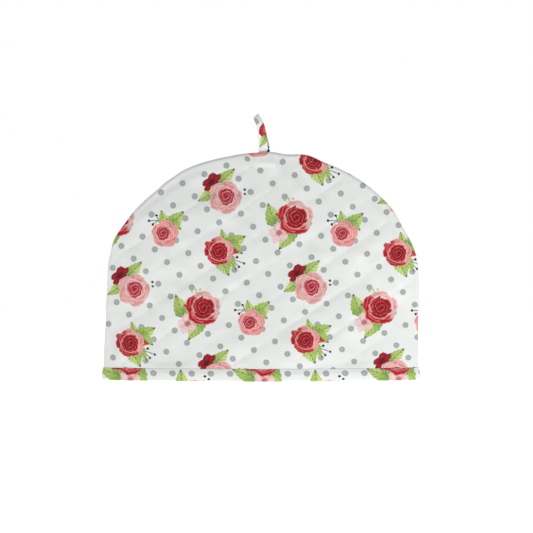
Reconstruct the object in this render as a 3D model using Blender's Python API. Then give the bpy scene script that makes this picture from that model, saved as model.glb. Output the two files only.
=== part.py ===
"""Tea cosy: two quilted arched panels sewn together, a bias binding round the mouth and a loop.

Units are metres and +Z is up. The origin is the middle of the mouth, on the table that the
hem rests on. The front panel faces -Y and +X is to its right.

Both panels and the binding are first worked out on an even arch, in the coordinates x (across)
and z (height). place() then pushes the points near the seam in or out by a few millimetres, so
that the sewn edge is as uneven as on the real cover.
"""

import math

import bpy
from mathutils import Vector
from mathutils.geometry import delaunay_2d_cdt

MM = 0.001

# Arch: upright sides that flare a little towards the hem, then half an ellipse
ARCH_HALF_WIDTH = 173.0 * MM
ARCH_RISE = 144.5 * MM
SPRING_HEIGHT = 107.8 * MM
HEM_FLARE = 1.0 * MM
ARCH_TOP = SPRING_HEIGHT + ARCH_RISE

# How far the cover stands open
HEM_HALF_DEPTH = 47.0 * MM
DEPTH_FALL = 1.6
WAVE_HEIGHT = 1.1 * MM
WAVE_LENGTH = 118.0 * MM
WAVE_REACH = 90.0 * MM
WAVE_START = 0.21

# Quilted cloth: channels that rise to the right, seen from outside
QUILT_ANGLE = math.radians(34.0)
QUILT_PITCH = 34.0 * MM
QUILT_LOWEST_GROOVE = -1.7 * MM
QUILT_PUFF = 2.4
STITCHED_THICKNESS = 3.2 * MM
OUTER_RELIEF = 2.2 * MM
INNER_RELIEF = 1.4 * MM

# Arch seam
GAP = 0.3 * MM
SEAM_ROUND = 3.5 * MM
SEAM_FLAT = 5.0 * MM
SEAM_ALLOWANCE = 8.5 * MM
SEAM_REACH = 15.0 * MM

# Binding round the mouth
BINDING_CLOTH = 1.2 * MM
BINDING_HEIGHT = 14.0 * MM
BINDING_EDGE = 0.5 * MM
BINDING_CLEARANCE = 0.35 * MM
SQUEEZED_SHARE = 0.35
HEM_LIFT = BINDING_CLOTH + GAP

# Hanging loop
LOOP_X = 3.8 * MM
LOOP_WIDTH = 12.4 * MM
LOOP_TAPE = 1.3 * MM
LOOP_RISE = 43.5 * MM
LOOP_SPREAD = 7.4 * MM
LOOP_LEAN = 8.5 * MM
LOOP_TAIL = 8.5 * MM
LOOP_NECK = 2.0 * MM
LOOP_TAPER = 1.2
LOOP_LEAN_POWER = 1.8
LOOP_STEPS = 30
POCKET_HALF_WIDTH = 8.5 * MM
POCKET_DEPTH = 10.5 * MM
POCKET_FADE = 7.0 * MM

# Mesh steps
SEAM_INSETS = (0.0, 1.2 * MM, SEAM_ROUND, SEAM_ALLOWANCE, SEAM_REACH)
FINE_STEPS = 2000
SEAM_STEP = 10.0 * MM
POCKET_STEP = 4.0 * MM
HEM_STEP = 12.0 * MM
HEM_ROWS = (7.5 * MM, 14.5 * MM, 20.0 * MM)
QUILT_ROWS = (0.0, 0.14, 0.5, 0.86)
QUILT_STEP = 15.0 * MM
ROW_MARGIN = 4.5 * MM

# Unevenness of the sewn edge: the bearing from the middle of the mouth, in degrees from
# straight up and positive to the right, and how far the edge stands out there, in millimetres
EDGE_COLUMNS = ("bearing", "out")
EDGE_ROWS = (
    (-90.0, 0.9),
    (-79.0, 0.8),
    (-66.0, -0.9),
    (-57.7, -2.4),
    (-50.6, -1.2),
    (-46.7, 0.0),
    (-40.0, -2.4),
    (-29.8, -3.7),
    (-25.2, -2.0),
    (-19.5, -0.2),
    (-8.7, -0.9),
    (-3.0, 0.0),
    (3.0, 1.2),
    (5.9, 0.1),
    (11.7, 3.8),
    (16.5, 1.6),
    (26.8, 2.2),
    (37.0, 2.6),
    (42.6, 0.9),
    (50.7, 3.2),
    (57.9, 2.0),
    (74.8, 1.4),
    (90.0, 0.9),
)
EDGE_FADE = 6

CLOTH_COLOUR = (0.80, 0.81, 0.80, 1.0)


def mix(low, high, share):
    """The value that lies a share of the way from low to high."""
    return low + (high - low) * share


def ease(share):
    """A smooth step from 0 to 1."""
    share = min(max(share, 0.0), 1.0)
    return share * share * (3.0 - 2.0 * share)


def half_width(z):
    """Half the width of the even arch at this height."""
    if z <= SPRING_HEIGHT:
        return ARCH_HALF_WIDTH + HEM_FLARE * (1.0 - z / SPRING_HEIGHT)
    up = min((z - SPRING_HEIGHT) / ARCH_RISE, 1.0)
    return ARCH_HALF_WIDTH * math.sqrt(1.0 - up * up)


def edge_distance(x, z):
    """How far inside the even arch's seam a point lies."""
    if z <= SPRING_HEIGHT:
        return half_width(z) - abs(x)
    across = x / ARCH_HALF_WIDTH
    up = (z - SPRING_HEIGHT) / ARCH_RISE
    radius = math.hypot(across, up)
    slope = math.hypot(across / ARCH_HALF_WIDTH, up / ARCH_RISE) / max(radius, 1e-6)
    return (1.0 - radius) / max(slope, 1.0 / ARCH_HALF_WIDTH)


def wave(x, z, side):
    """Slack in the cloth, which leaves the hem a little wavy in plan. Seen from outside, both
    panels have the same waves."""
    turn = 2.0 * math.pi * (x * side / WAVE_LENGTH + WAVE_START)
    return WAVE_HEIGHT * math.sin(turn) * math.exp(-z / WAVE_REACH)


def opening_depth(x, z, side):
    """How far the stitched cloth stands out from the seam's plane, apart from its thickness."""
    width = half_width(z)
    if width < 1e-6:
        return 0.0
    middle = HEM_HALF_DEPTH * (1.0 - (z / ARCH_TOP) ** DEPTH_FALL)
    return (middle + wave(x, z, side)) * max(1.0 - (x / width) ** 2, 0.0)


def puff(x, z, side):
    """The share of the full quilt height at a point: 0 in a stitched groove, 1 on a crown."""
    rise = (z - QUILT_LOWEST_GROOVE) * math.cos(QUILT_ANGLE)
    across = rise - x * side * math.sin(QUILT_ANGLE)
    place_in_channel = (across / QUILT_PITCH) % 1.0
    crown = 1.0 - abs(2.0 * place_in_channel - 1.0) ** QUILT_PUFF
    under_binding = 1.0 - ease((z - BINDING_HEIGHT) / (HEM_ROWS[-1] - BINDING_HEIGHT))
    crown = mix(crown, SQUEEZED_SHARE, under_binding)
    return crown * ease((edge_distance(x, z) - SEAM_FLAT) / (SEAM_REACH - SEAM_FLAT))


def pocket(x, z):
    """How far each panel is pushed out where the loop's ends go into the seam."""
    if z < SPRING_HEIGHT:
        return 0.0
    beside = 1.0 - ease((abs(x - LOOP_X) - POCKET_HALF_WIDTH) / POCKET_FADE)
    below = 1.0 - ease((edge_distance(x, z) - POCKET_DEPTH) / POCKET_FADE)
    return (LOOP_TAPE + GAP) * beside * below


def seam_roll(distance):
    """The rounded edge where the cloth rolls into the arch seam."""
    if distance >= SEAM_ROUND:
        return SEAM_ROUND
    return math.sqrt(max(SEAM_ROUND**2 - (SEAM_ROUND - distance) ** 2, 0.0))


def stitched_face(x, z, side):
    """Distance of the outer face from the seam's plane where the cloth is stitched flat."""
    roll = seam_roll(max(edge_distance(x, z), 0.0))
    return GAP / 2.0 + roll + opening_depth(x, z, side) + pocket(x, z)


def outer_face(x, z, side):
    return stitched_face(x, z, side) + OUTER_RELIEF * puff(x, z, side)


def inner_face(x, z, side):
    """Distance of the inner face from the seam's plane. The turned-in seam allowances fill the
    space beside the seam, so there the face lies in that plane."""
    wall = STITCHED_THICKNESS + INNER_RELIEF * puff(x, z, side)
    flat = GAP / 2.0 + pocket(x, z)
    hollow = max(stitched_face(x, z, side) - wall, flat)
    past_seam = ease((edge_distance(x, z) - SEAM_ALLOWANCE) / (SEAM_REACH - SEAM_ALLOWANCE))
    return mix(flat, hollow, past_seam)


def edge_out(x, z):
    """How far the real seam stands out at a point's bearing from the middle of the mouth."""
    bearing = math.degrees(math.atan2(x, max(z, 0.0)))
    rows = [dict(zip(EDGE_COLUMNS, row)) for row in EDGE_ROWS]
    for before, after in zip(rows, rows[1:]):
        if bearing <= after["bearing"]:
            span = after["bearing"] - before["bearing"]
            share = ease((bearing - before["bearing"]) / span)
            return mix(before["out"], after["out"], share) * MM
    return rows[-1]["out"] * MM


def place(x, y, z):
    """A point of the even arch, moved to where it is on the uneven one."""
    if z <= SPRING_HEIGHT:
        reach = abs(x) / half_width(z)
        push = Vector((math.copysign(1.0, x), 0.0, 0.0))
    else:
        reach = math.hypot(x / ARCH_HALF_WIDTH, (z - SPRING_HEIGHT) / ARCH_RISE)
        push = Vector((x, 0.0, z - SPRING_HEIGHT)).normalized()
    return Vector((x, y, z)) + push * edge_out(x, z) * reach**EDGE_FADE


def seam_stations():
    """Points along the even arch from its right hem corner to its left one, each with the
    direction that points into the cloth."""
    heights = [mix(HEM_LIFT, SPRING_HEIGHT, step / FINE_STEPS) for step in range(FINE_STEPS + 1)]
    turns = [math.pi * step / FINE_STEPS for step in range(1, FINE_STEPS)]
    right_side = [Vector((half_width(z), z)) for z in heights]
    left_side = [Vector((-half_width(z), z)) for z in reversed(heights)]
    centre = Vector((0.0, SPRING_HEIGHT))
    arch = [
        centre + Vector((ARCH_HALF_WIDTH * math.cos(turn), ARCH_RISE * math.sin(turn)))
        for turn in turns
    ]
    fine = right_side + arch + left_side

    picked = [0]
    walked = 0.0
    for index in range(1, len(fine)):
        walked += (fine[index] - fine[index - 1]).length
        high = fine[index].y > SPRING_HEIGHT
        near_loop = high and abs(fine[index].x - LOOP_X) < POCKET_HALF_WIDTH + 2.0 * POCKET_FADE
        if walked >= (POCKET_STEP if near_loop else SEAM_STEP):
            picked.append(index)
            walked = 0.0
    if walked < SEAM_STEP / 2.0:
        picked.pop()
    picked.append(len(fine) - 1)

    stations = []
    for index in picked:
        along = fine[min(index + 1, len(fine) - 1)] - fine[max(index - 1, 0)]
        stations.append((fine[index], Vector((-along.y, along.x)).normalized()))
    return stations


def hem_columns():
    """The x of each point along the hem, from left to right, on the even arch."""
    width = half_width(HEM_LIFT)
    inner = width - SEAM_INSETS[-1]
    count = round(2.0 * inner / HEM_STEP)
    middle = [mix(-inner, inner, step / count) for step in range(1, count)]
    left = [-width + inset for inset in SEAM_INSETS]
    return left + middle + [-x for x in reversed(left)]


def quilt_rows():
    """Rows of points along the channels' grooves, shoulders and crowns."""
    along = Vector((math.cos(QUILT_ANGLE), math.sin(QUILT_ANGLE)))
    across = Vector((-along.y, along.x))
    start = Vector((0.0, QUILT_LOWEST_GROOVE))
    reach = ARCH_HALF_WIDTH + ARCH_TOP
    channels = round(reach / QUILT_PITCH)
    steps = round(reach / QUILT_STEP)
    for channel in range(-channels, channels):
        for number, part in enumerate(QUILT_ROWS):
            line = start + across * (channel + part) * QUILT_PITCH
            shift = 0.5 * (number % 2)
            row = [line + along * (step + shift) * QUILT_STEP for step in range(-steps, steps)]
            yield [point for point in row if is_quilt_point(point)]


def is_quilt_point(point):
    low = HEM_ROWS[-1] + ROW_MARGIN
    inside = SEAM_INSETS[-1] + ROW_MARGIN
    return point.y > low and edge_distance(point.x, point.y) > inside


def panel_plan():
    """The triangles that both faces of a panel share, on the even arch, and the lists of
    points that run along its seam and along its hem."""
    stations = seam_stations()
    points = [spot for spot, inward in stations]
    seam = list(range(len(points)))
    for x in hem_columns()[1:-1]:
        points.append(Vector((x, HEM_LIFT)))
    hem = [seam[-1]] + list(range(len(seam), len(points))) + [seam[0]]
    around = seam + hem[1:-1]
    edges = [(first, second) for first, second in zip(around, around[1:] + around[:1])]

    def add_row(row):
        start = len(points)
        points.extend(row)
        edges.extend((index, index + 1) for index in range(start, len(points) - 1))

    for inset in SEAM_INSETS[1:]:
        ring = [spot + inward * inset for spot, inward in stations]
        add_row([spot for spot in ring if spot.y > HEM_ROWS[-1] + ROW_MARGIN])
    for height in HEM_ROWS:
        add_row([Vector((x, height)) for x in hem_columns()[1:-1]])
    for row in quilt_rows():
        add_row(row)

    plan = delaunay_2d_cdt(points, edges, [], 1, 1e-6)
    spots, triangles, origins = plan[0], plan[2], plan[3]
    place_of = {}
    for index, sources in enumerate(origins):
        for source in sources:
            place_of[source] = index
    return spots, triangles, [place_of[i] for i in seam], [place_of[i] for i in hem]


def new_object(name, points, faces):
    mesh = bpy.data.meshes.new(name)
    mesh.from_pydata([tuple(point) for point in points], [], faces)
    mesh.validate()
    cosy_object = bpy.data.objects.new(name, mesh)
    bpy.context.scene.collection.objects.link(cosy_object)
    cosy_object.data.materials.append(cloth_material(name))
    mesh.shade_smooth()
    mesh.set_sharp_from_angle(angle=math.radians(50.0))
    return cosy_object


def cloth_material(name):
    material = bpy.data.materials.new(name + "_cotton")
    material.use_nodes = True
    surface = material.node_tree.nodes["Principled BSDF"]
    surface.inputs["Base Color"].default_value = CLOTH_COLOUR
    surface.inputs["Roughness"].default_value = 0.9
    surface.inputs["Metallic"].default_value = 0.0
    return material


def make_panel(name, side, plan):
    """One quilted panel. side is 1 for the front and -1 for the back, which is the same piece
    turned round, so that its channels rise to the right when it is seen from behind."""
    spots, triangles, seam, hem = plan
    points = []
    for spot in spots:
        x = spot.x * side
        points.append(place(x, -side * outer_face(x, spot.y, side), spot.y))
    on_seam = set(seam)
    inner_index = {}
    for index, spot in enumerate(spots):
        if index in on_seam:
            inner_index[index] = index
            continue
        x = spot.x * side
        inner_index[index] = len(points)
        points.append(place(x, -side * inner_face(x, spot.y, side), spot.y))

    faces = []
    for a, b, c in triangles:
        faces.append((a, b, c))
        faces.append((inner_index[a], inner_index[c], inner_index[b]))
    for first, second in zip(hem, hem[1:]):
        corners = (second, first, inner_index[first], inner_index[second])
        faces.append(tuple(dict.fromkeys(corners)))
    return new_object(name, points, faces)


def contour_normal(face, x, z, side):
    """The direction, in plan, that points away from the cloth's middle at x on a face."""
    step = 0.02 * MM
    slope = (face(x + step, z, side) - face(x - step, z, side)) / (2.0 * step)
    return Vector((-slope, 1.0)).normalized()


def outer_contour(z, offset):
    """The panels' outer line in plan at this height, moved outwards: front, then back."""
    columns = hem_columns()
    scale = half_width(z) / half_width(HEM_LIFT)
    front = []
    back = []
    for number, column in enumerate(columns):
        x = column * scale
        if number in (0, len(columns) - 1):
            front.append(Vector((x + math.copysign(offset, x), 0.0)))
            continue
        for line, side in ((front, 1), (back, -1)):
            spot = Vector((x, outer_face(x, z, side)))
            spot += contour_normal(outer_face, x, z, side) * offset
            line.append(Vector((spot.x, -side * spot.y)))
    return front + back[::-1]


def mouth_half_depth(x, z, side, offset):
    """Half the depth of the hollow at x, less an offset square to its wall."""
    normal = contour_normal(inner_face, x, z, side)
    return inner_face(x, z, side) - offset / max(normal.y, 0.3)


def mouth_end(z, direction, offset):
    """The x at which the hollow, less the offset, closes to nothing."""
    near = 0.0
    far = half_width(z)
    for _ in range(40):
        x = direction * (near + far) / 2.0
        narrowest = min(mouth_half_depth(x, z, side, offset) for side in (1, -1))
        if narrowest > 0.0:
            near = abs(x)
        else:
            far = abs(x)
    return direction * near


def inner_contour(z, offset):
    """The hollow's line in plan at this height, moved inwards: front, then back."""
    columns = hem_columns()
    width = half_width(HEM_LIFT)
    ends = {direction: mouth_end(z, direction, offset) for direction in (-1, 1)}
    front = []
    back = []
    for number, column in enumerate(columns):
        direction = 1 if column > 0.0 else -1
        x = abs(column) / width * ends[direction]
        if number in (0, len(columns) - 1):
            front.append(Vector((x, 0.0)))
            continue
        for line, side in ((front, 1), (back, -1)):
            line.append(Vector((x, -side * mouth_half_depth(x, z, side, offset))))
    return front + back[::-1]


def make_binding(name):
    """The bias strip folded over the hem: an outer wall, a flat bottom and an inner wall, all
    in one piece round the mouth. The panels stand in the channel between the walls."""
    near = BINDING_CLEARANCE
    far = BINDING_CLEARANCE + BINDING_CLOTH
    middle = (near + far) / 2.0
    top = BINDING_HEIGHT
    rolled = BINDING_HEIGHT - BINDING_EDGE
    rings = (
        (outer_contour(0.0, far - BINDING_EDGE), 0.0),
        (outer_contour(0.0, far), BINDING_EDGE),
        (outer_contour(rolled, far), rolled),
        (outer_contour(top, middle), top),
        (outer_contour(rolled, near), rolled),
        (outer_contour(0.0, near), BINDING_CLOTH),
        (inner_contour(0.0, near), BINDING_CLOTH),
        (inner_contour(rolled, near), rolled),
        (inner_contour(top, middle), top),
        (inner_contour(rolled, far), rolled),
        (inner_contour(0.0, far), BINDING_EDGE),
        (inner_contour(0.0, far - BINDING_EDGE), 0.0),
    )
    points = [place(spot.x, spot.y, height) for ring, height in rings for spot in ring]
    around = len(rings[0][0])
    faces = []
    for ring in range(len(rings)):
        above = (ring + 1) % len(rings)
        for step in range(around):
            ahead = (step + 1) % around
            here = (ring * around + step, ring * around + ahead)
            there = (above * around + step, above * around + ahead)
            faces.append((here[0], here[1], there[1]))
            faces.append((here[0], there[1], there[0]))
    return new_object(name, points, faces)


def loop_centre(turn):
    """A point on the middle of the loop's tape. turn runs from 0 at the front of the neck,
    over the tip at pi, to the back of the neck at 2 pi."""
    neck = ARCH_TOP + LOOP_NECK
    tip = ARCH_TOP + LOOP_RISE - LOOP_TAPE / 2.0
    z = mix(neck, tip, (1.0 - math.cos(turn)) / 2.0)
    legs = (LOOP_TAPE + GAP) / 2.0
    eye = LOOP_SPREAD * math.sin(turn) * math.sin(turn / 2.0) ** LOOP_TAPER
    y = -legs * math.cos(turn / 2.0) - eye
    lean = LOOP_LEAN * ((z - ARCH_TOP) / LOOP_RISE) ** LOOP_LEAN_POWER
    return Vector((LOOP_X - lean, y, z))


def make_loop(name):
    """A folded tape, with both of its ends in the pocket at the top of the seam."""
    legs = (LOOP_TAPE + GAP) / 2.0
    bottom = ARCH_TOP - LOOP_TAIL
    centres = [loop_centre(2.0 * math.pi * step / LOOP_STEPS) for step in range(LOOP_STEPS + 1)]
    neck = ARCH_TOP + LOOP_NECK
    front_tail = [Vector((LOOP_X, -legs, mix(bottom, neck, share))) for share in (0.0, 0.8)]
    back_tail = [Vector((spot.x, legs, spot.z)) for spot in reversed(front_tail)]
    path = front_tail + centres + back_tail

    side = LOOP_WIDTH / 2.0
    half = LOOP_TAPE / 2.0
    rim = 0.6 * half
    section = (
        (-side, 0.0),
        (rim - side, half),
        (side - rim, half),
        (side, 0.0),
        (side - rim, -half),
        (rim - side, -half),
    )
    points = []
    for index, centre in enumerate(path):
        along = path[min(index + 1, len(path) - 1)] - path[max(index - 1, 0)]
        outward = Vector((0.0, -along.z, along.y)).normalized()
        for across, thick in section:
            points.append(centre + Vector((across, 0.0, 0.0)) + outward * thick)

    count = len(section)
    faces = [tuple(reversed(range(count))), tuple(range(len(points) - count, len(points)))]
    for index in range(len(path) - 1):
        for corner in range(count):
            next_corner = (corner + 1) % count
            low, high = index * count, (index + 1) * count
            faces.append((low + corner, low + next_corner, high + next_corner, high + corner))
    return new_object(name, points, faces)


def clear_scene():
    for scene_object in list(bpy.data.objects):
        bpy.data.objects.remove(scene_object, do_unlink=True)


def main():
    clear_scene()
    plan = panel_plan()
    make_panel("panel_front", 1, plan)
    make_panel("panel_back", -1, plan)
    make_binding("hem_binding")
    make_loop("hanging_loop")


main()
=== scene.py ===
import itertools
import math

import bpy
import numpy as np
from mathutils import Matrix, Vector


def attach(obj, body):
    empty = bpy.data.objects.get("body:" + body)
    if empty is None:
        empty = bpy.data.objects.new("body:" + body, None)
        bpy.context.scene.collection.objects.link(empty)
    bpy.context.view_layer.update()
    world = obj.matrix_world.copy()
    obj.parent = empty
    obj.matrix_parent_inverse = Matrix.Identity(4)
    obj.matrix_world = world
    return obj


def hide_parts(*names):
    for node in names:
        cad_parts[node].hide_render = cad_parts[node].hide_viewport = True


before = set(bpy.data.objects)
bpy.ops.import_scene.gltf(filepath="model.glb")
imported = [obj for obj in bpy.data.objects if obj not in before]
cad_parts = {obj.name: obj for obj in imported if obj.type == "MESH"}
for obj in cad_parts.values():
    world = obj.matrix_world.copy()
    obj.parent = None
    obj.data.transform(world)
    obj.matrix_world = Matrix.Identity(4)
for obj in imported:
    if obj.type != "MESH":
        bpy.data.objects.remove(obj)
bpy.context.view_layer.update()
print("frame loaded")

mm = 0.001


# SHADER MATHS


class Wire:
    # One output socket, so that shader maths reads as a Python expression
    def __init__(self, graph, socket):
        self.graph = graph
        self.socket = socket

    def __add__(self, other):
        return self.graph.maths("ADD", self, other)

    def __radd__(self, other):
        return self.graph.maths("ADD", other, self)

    def __sub__(self, other):
        return self.graph.maths("SUBTRACT", self, other)

    def __rsub__(self, other):
        return self.graph.maths("SUBTRACT", other, self)

    def __mul__(self, other):
        return self.graph.maths("MULTIPLY", self, other)

    def __rmul__(self, other):
        return self.graph.maths("MULTIPLY", other, self)

    def __truediv__(self, other):
        return self.graph.maths("DIVIDE", self, other)

    def __rtruediv__(self, other):
        return self.graph.maths("DIVIDE", other, self)

    def __lt__(self, other):
        return self.graph.maths("LESS_THAN", self, other)

    def __abs__(self):
        return self.graph.maths("ABSOLUTE", self)

    def __pow__(self, other):
        return self.graph.maths("POWER", self, other)

    def isVector(self):
        return self.socket.type == "VECTOR"

    def fraction(self):
        return self.graph.maths("FRACTION" if self.isVector() else "FRACT", self)

    def parts(self):
        split = self.graph.nodes.new("ShaderNodeSeparateXYZ")
        self.graph.links.new(self.socket, split.inputs[0])
        return [Wire(self.graph, output) for output in split.outputs]


class Graph:
    def __init__(self, material):
        material.use_nodes = True
        self.nodes = material.node_tree.nodes
        self.links = material.node_tree.links
        self.nodes.clear()

    def node(self, kind, settings, values, output=0):
        # Any node: its settings first, then its sockets' values or links
        made = self.nodes.new(kind)
        for name, value in settings.items():
            setattr(made, name, value)
        for key, value in values.items():
            if isinstance(value, Wire):
                self.links.new(value.socket, made.inputs[key])
            else:
                made.inputs[key].default_value = value
        return Wire(self, made.outputs[output])

    def maths(self, operation, *terms):
        vectors = [t for t in terms if isinstance(t, tuple) or (isinstance(t, Wire) and t.isVector())]
        if not vectors:
            return self.node("ShaderNodeMath", {"operation": operation}, dict(enumerate(terms)))
        if operation == "MULTIPLY" and len(vectors) == 1:
            number = [t for t in terms if t is not vectors[0]][0]
            return self.node("ShaderNodeVectorMath", {"operation": "SCALE"}, {0: vectors[0], 3: number})
        output = 1 if operation in ("DOT_PRODUCT", "LENGTH") else 0
        settings = {"operation": operation}
        return self.node("ShaderNodeVectorMath", settings, dict(enumerate(terms)), output)

    def mix(self, share, low, high):
        # Colours have four values, vectors three, and numbers one
        kinds = {1: ("FLOAT", 2, 3, 0), 3: ("VECTOR", 4, 5, 1), 4: ("RGBA", 6, 7, 2)}
        sizes = {"VALUE": 1, "VECTOR": 3, "RGBA": 4}
        size = 1
        for term in (low, high):
            if isinstance(term, Wire):
                size = max(size, sizes[term.socket.type])
            elif isinstance(term, tuple):
                size = max(size, len(term))
        kind, first, second, output = kinds[size]
        return self.node("ShaderNodeMix", {"data_type": kind}, {0: share, first: low, second: high}, output)

    def soft(self, inside, width):
        # A mask that turns from 0 to 1 where the value passes 0, over a small width
        settings = {"operation": "MULTIPLY_ADD", "use_clamp": True}
        return self.node("ShaderNodeMath", settings, {0: inside, 1: 1.0 / width, 2: 0.5})

    def ease(self, value, low, high):
        settings = {"interpolation_type": "SMOOTHSTEP"}
        return self.node("ShaderNodeMapRange", settings, {0: value, 1: low, 2: high, 3: 0.0, 4: 1.0})

    def noise(self, place, scale, detail=2.0, output=0):
        values = {"Vector": place, "Scale": scale, "Detail": detail}
        return self.node("ShaderNodeTexNoise", {}, values, output)

    def join(self, x, y):
        return self.node("ShaderNodeCombineXYZ", {}, {0: x, 1: y})

    def pickPlace(self, places, closer):
        return self.pick([(place[0], place[1], 0.0) for place in places], closer)

    def product(self, first, second):
        return self.node("ShaderNodeVectorMath", {"operation": "MULTIPLY"}, {0: first, 1: second})

    def pick(self, choices, closer):
        # The value of the nearest posy, from one value for each and the masks of the later ones
        picked = choices[0]
        for mask, choice in zip(closer, choices[1:]):
            picked = self.mix(mask, picked, choice)
        return picked


def srgb(red, green, blue):
    # A colour as it shows on a screen, from 0 to 255, made linear
    def linear(level):
        level /= 255.0
        return level / 12.92 if level < 0.04045 else ((level + 0.055) / 1.055) ** 2.4

    return (linear(red), linear(green), linear(blue), 1.0)


# PRINT: ROSES AND DOTS
# All sizes are millimetres on the cloth, to the right and up from the middle of the front hem.
# The posies repeat along two slanting steps. Each posy's own sizes are from its rose's middle.

printStyle = {
    "repeatDown": (94.4, -99.6),
    "repeatLeft": (-102.3, -99.9),
    "ground": srgb(232, 234, 232),
    "dotStart": (-4.5, 131.3),
    "dotRight": (23.8, 9.5),
    "dotDown": (13.5, -14.2),
    "dotRadius": 3.3,
    "dotEdge": srgb(152, 159, 158),
    "dotColour": srgb(159, 166, 164),
    "dotMiddle": srgb(171, 177, 175),
    "leafLight": srgb(200, 216, 136),
    "leafBody": srgb(163, 192, 96),
    "leafDeep": srgb(96, 136, 74),
    "leafVein": srgb(72, 106, 52),
    "leafTip": srgb(54, 66, 48),
    "sprigDark": srgb(26, 30, 30),
    "sprigPale": srgb(186, 198, 120),
    "beadRadius": 1.35,
}

nowhere = (900.0, 900.0)
noLeaf = {"base": nowhere, "tip": (901.0, 900.0), "width": 0.1}
noBloom = {"at": nowhere, "size": (1.0, 1.0), "red": 1.0}
noSprig = {"root": nowhere, "tips": [nowhere, nowhere, nowhere], "stem": -1.0, "pale": 0.0}


def leaf(base, tip, width):
    # base and tip are (right, up), and width is the leaf's widest
    return {"base": base, "tip": tip, "width": width}


def newPosy(at, size, leaves, **own):
    # What a posy doesn't name is plain: pink petals alone, and no petal behind, flower or beads.
    # core is the dark middle's share of the rose. side is the way to a crimson rose's darker
    # petals, and dark how many of them there are. offset moves the outer petals. warm is 0 for
    # dusky pink petals and 1 for warm pink ones.
    plain = {"core": 0.5, "turn": 0.0, "side": (0.0, 0.0), "dark": -2.0, "offset": (0.0, 0.0),
             "warm": 0.0, "petal": noLeaf, "bloom": noBloom, "sprig": noSprig}
    return {**plain, "at": at, "size": size, "leaves": leaves, **own}


posies = [
    newPosy(
        at=(-37.3, 202.3), size=18.2, core=0.49, turn=0.10, offset=(-0.07, -0.06), warm=0.25,
        leaves=[leaf((-8.5, 13.0), (9.0, 30.4), 15.5), leaf((-14.5, 4.5), (-31.8, -5.6), 13.0)],
        bloom={"at": (-16.4, 15.6), "size": (12.6, 8.0), "red": 1.0},
        sprig={"root": nowhere, "tips": [(20.0, 7.4), (20.2, 2.6), nowhere], "stem": -1.0,
               "pale": 0.0},
    ),
    newPosy(
        at=(-106.9, 162.9), size=14.9, core=0.50, turn=0.455, offset=(0.17, -0.05), warm=1.0,
        leaves=[leaf((2.5, 7.0), (-2.2, 25.6), 12.5), leaf((5.0, 5.0), (23.6, 23.8), 18.5),
                leaf((7.0, 12.0), (20.6, 3.6), 14.5)],
        sprig={"root": (-5.0, 14.0), "tips": [(-7.2, 19.2), (-15.6, 13.8), (-11.4, 9.6)],
               "stem": 0.45, "pale": 0.0},
    ),
    newPosy(
        at=(-44.7, 142.2), size=15.8, core=0.62, turn=0.62, side=(-0.80, -0.45), dark=0.16,
        offset=(-0.03, 0.02), warm=0.9,
        leaves=[leaf((7.5, 6.0), (1.8, 24.6), 12.0), leaf((6.0, 4.0), (29.4, 17.4), 19.5),
                leaf((9.0, 10.0), (26.0, -3.4), 16.5), leaf((7.0, -3.0), (18.4, -21.0), 13.0),
                leaf((0.0, -6.0), (10.4, -27.4), 18.5)],
        petal=leaf((6.0, 2.0), (22.0, -1.6), 11.0),
        bloom={"at": (-13.6, 8.6), "size": (3.2, 2.6), "red": 1.0},
        sprig={"root": (14.6, -9.0), "tips": [(19.4, -6.4), (27.2, -13.2), (21.4, -17.2)],
               "stem": 0.45, "pale": 0.0},
    ),
    newPosy(
        at=(39.5, 180.0), size=19.6, core=0.60, turn=0.85, side=(-0.72, -0.62), dark=0.12,
        offset=(-0.05, -0.02), warm=0.0,
        leaves=[leaf((-22.0, -10.0), (-31.8, 15.6), 18.5), leaf((-1.5, -11.0), (-19.4, -37.0), 18.0),
                leaf((-24.0, -6.0), (-12.0, 10.0), 9.0)],
        petal=leaf((-4.0, 1.0), (-23.6, 3.0), 14.0),
        bloom={"at": (-18.8, -17.4), "size": (12.2, 11.0), "red": 0.0},
        sprig={"root": (-8.0, 14.0), "tips": [(-13.2, 18.4), (-8.6, 19.8), (-3.8, 20.2)],
               "stem": 0.2, "pale": 1.0},
    ),
]

# The tape shows one blossom with a leaf in front, and a rose behind
loopPosies = [
    newPosy(
        at=(2.2, 278.0), size=0.01,
        leaves=[leaf((4.2, -6.0), (-3.8, -20.4), 9.5)],
        petal=leaf((-1.6, -6.6), (1.4, 9.4), 9.0),
        bloom={"at": (0.4, -2.6), "size": (5.2, 4.8), "red": 1.0},
        sprig={"root": (4.6, -6.0), "tips": [(7.2, -19.0), (6.0, -23.8), (6.0, -22.8)],
               "stem": 0.5, "pale": 0.0},
    ),
    newPosy(at=(-3.0, 330.0), size=12.0, turn=0.3, warm=1.0, leaves=[leaf((3.0, 9.0), (-2.4, 22.6), 9.0)]),
]

# The rose's rings of petals, from the outside in. reach, scallop, swirl, edge and band are
# shares of the rose's size.
dusky = [srgb(234, 202, 197), srgb(218, 160, 158), srgb(196, 128, 131)]
warm = [srgb(238, 182, 176), srgb(226, 142, 141), srgb(204, 106, 112)]
red = [srgb(222, 100, 104), srgb(168, 20, 34), srgb(112, 4, 16)]
pinkHeart = [srgb(244, 154, 156), srgb(206, 78, 94), srgb(122, 14, 30)]
roseRings = [
    {"petals": 5, "reach": 1.01, "scallop": 0.10, "swirl": 0.12, "shift": 0.15, "edge": 0.07, "band": 0.34},
    {"petals": 4, "reach": 0.84, "scallop": 0.13, "swirl": 0.20, "shift": 0.62, "edge": 0.08, "band": 0.30},
    {"petals": 3, "reach": 0.68, "scallop": 0.10, "swirl": 0.18, "shift": 0.33, "edge": 0.07, "band": 0.22},
]
coreTwist = 5.2


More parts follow.
